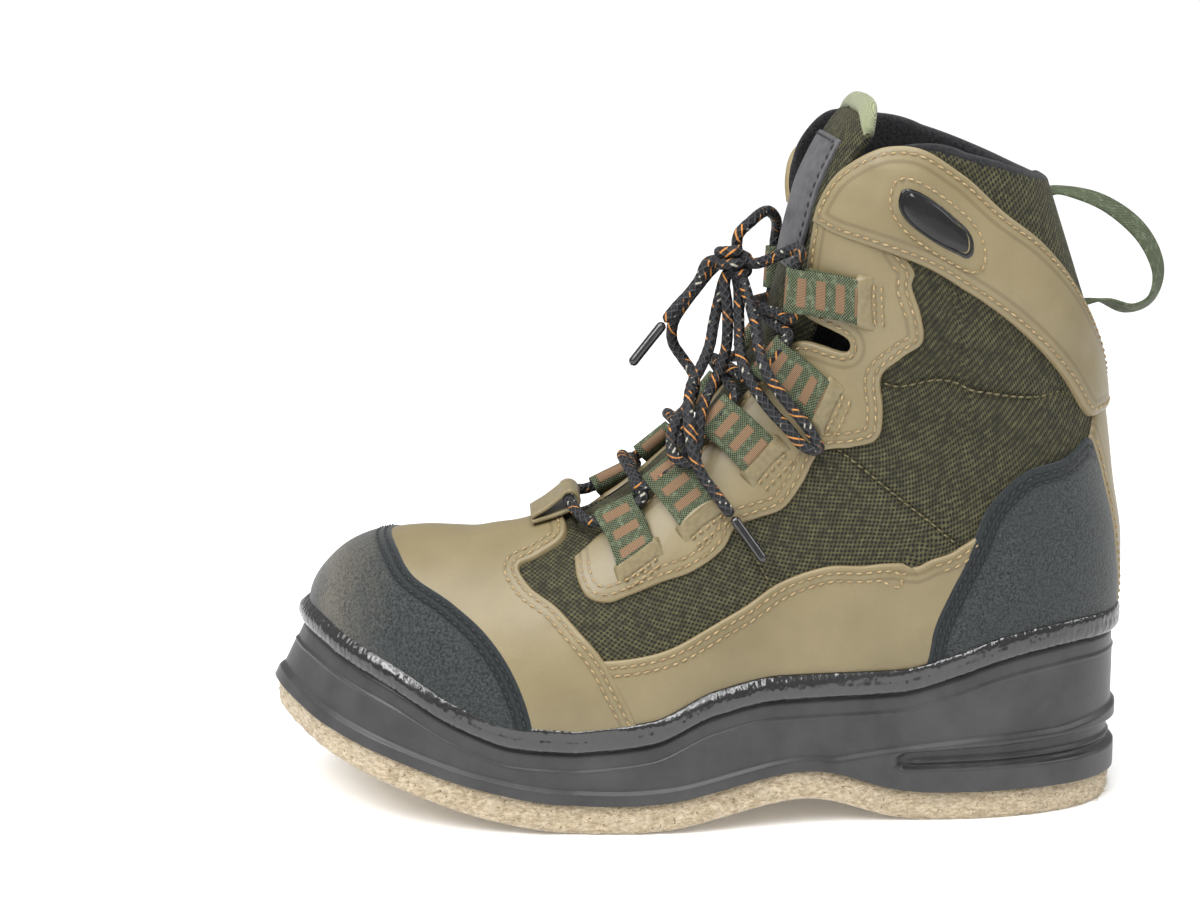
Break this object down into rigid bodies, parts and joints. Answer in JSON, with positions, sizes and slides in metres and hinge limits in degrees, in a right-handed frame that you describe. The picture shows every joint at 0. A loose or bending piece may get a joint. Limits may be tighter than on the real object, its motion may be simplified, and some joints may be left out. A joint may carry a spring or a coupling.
{
  "type": "wading boot",
  "caption": "Left lace-up wading boot with a felt sole, a rubber cup sole, a hollow leather and mesh upper, a tongue, webbing lace loops and a pull loop.",
  "frame": {"origin": "on the floor under the middle of the heel", "axes": "toe to -Y, heel to +Y, outer side of the left boot to +X, up +Z"},
  "size_m": [0.1086, 0.3188, 0.2585],
  "materials": {
    "tan_leather": "smooth, low sheen, fine grain",
    "grey_suede": "matt granular suede",
    "olive_mesh": "open woven mesh over dark cloth",
    "black_rubber": "satin, with a glossy bead",
    "insert_rubber": "glossy",
    "beige_felt": "pressed felt with loose hairs",
    "black_foam": "matt cloth over foam",
    "black_patch": "matt",
    "green_binding": "woven tape",
    "olive_webbing": "ribbed webbing with brown blocks",
    "black_lace": "round braid with orange and off-white flecks",
    "aglet_plastic": "gloss"
  },
  "bodies": {
    "root": {"aglet_front": "aglet_plastic", "aglet_rear": "aglet_plastic", "ankle_insert_lateral": "insert_rubber", "ankle_insert_medial": "insert_rubber", "backstay": "tan_leather", "collar_patch": "tan_leather", "counter_lateral": "grey_suede", "counter_medial": "grey_suede", "eyestay_lateral": "tan_leather", "eyestay_medial": "tan_leather", "felt_outsole": "beige_felt", "insole": "black_foam", "lace": "black_lace", "lace_bow_left": "black_lace", "lace_bow_right": "black_lace", "lace_end_front": "black_lace", "lace_end_rear": "black_lace", "lace_knot": "black_lace", "lace_loop_lateral_1": "olive_webbing", "lace_loop_lateral_2": "olive_webbing", "lace_loop_lateral_3": "olive_webbing", "lace_loop_lateral_4": "olive_webbing", "lace_loop_lateral_5": "olive_webbing", "lace_loop_medial_1": "olive_webbing", "lace_loop_medial_2": "olive_webbing", "lace_loop_medial_3": "olive_webbing", "lace_loop_medial_4": "olive_webbing", "lace_loop_medial_5": "olive_webbing", "midsole": "black_rubber", "mudguard_lateral": "tan_leather", "mudguard_medial": "tan_leather", "pull_loop": "olive_webbing", "throat_loop": "tan_leather", "toe_cap": "grey_suede", "tongue": "olive_mesh", "tongue_binding": "green_binding", "tongue_patch": "black_patch", "upper_forefoot": "olive_mesh", "upper_quarters": "olive_mesh", "vamp": "tan_leather", "welt": "black_rubber"}
  },
  "joints": []
}
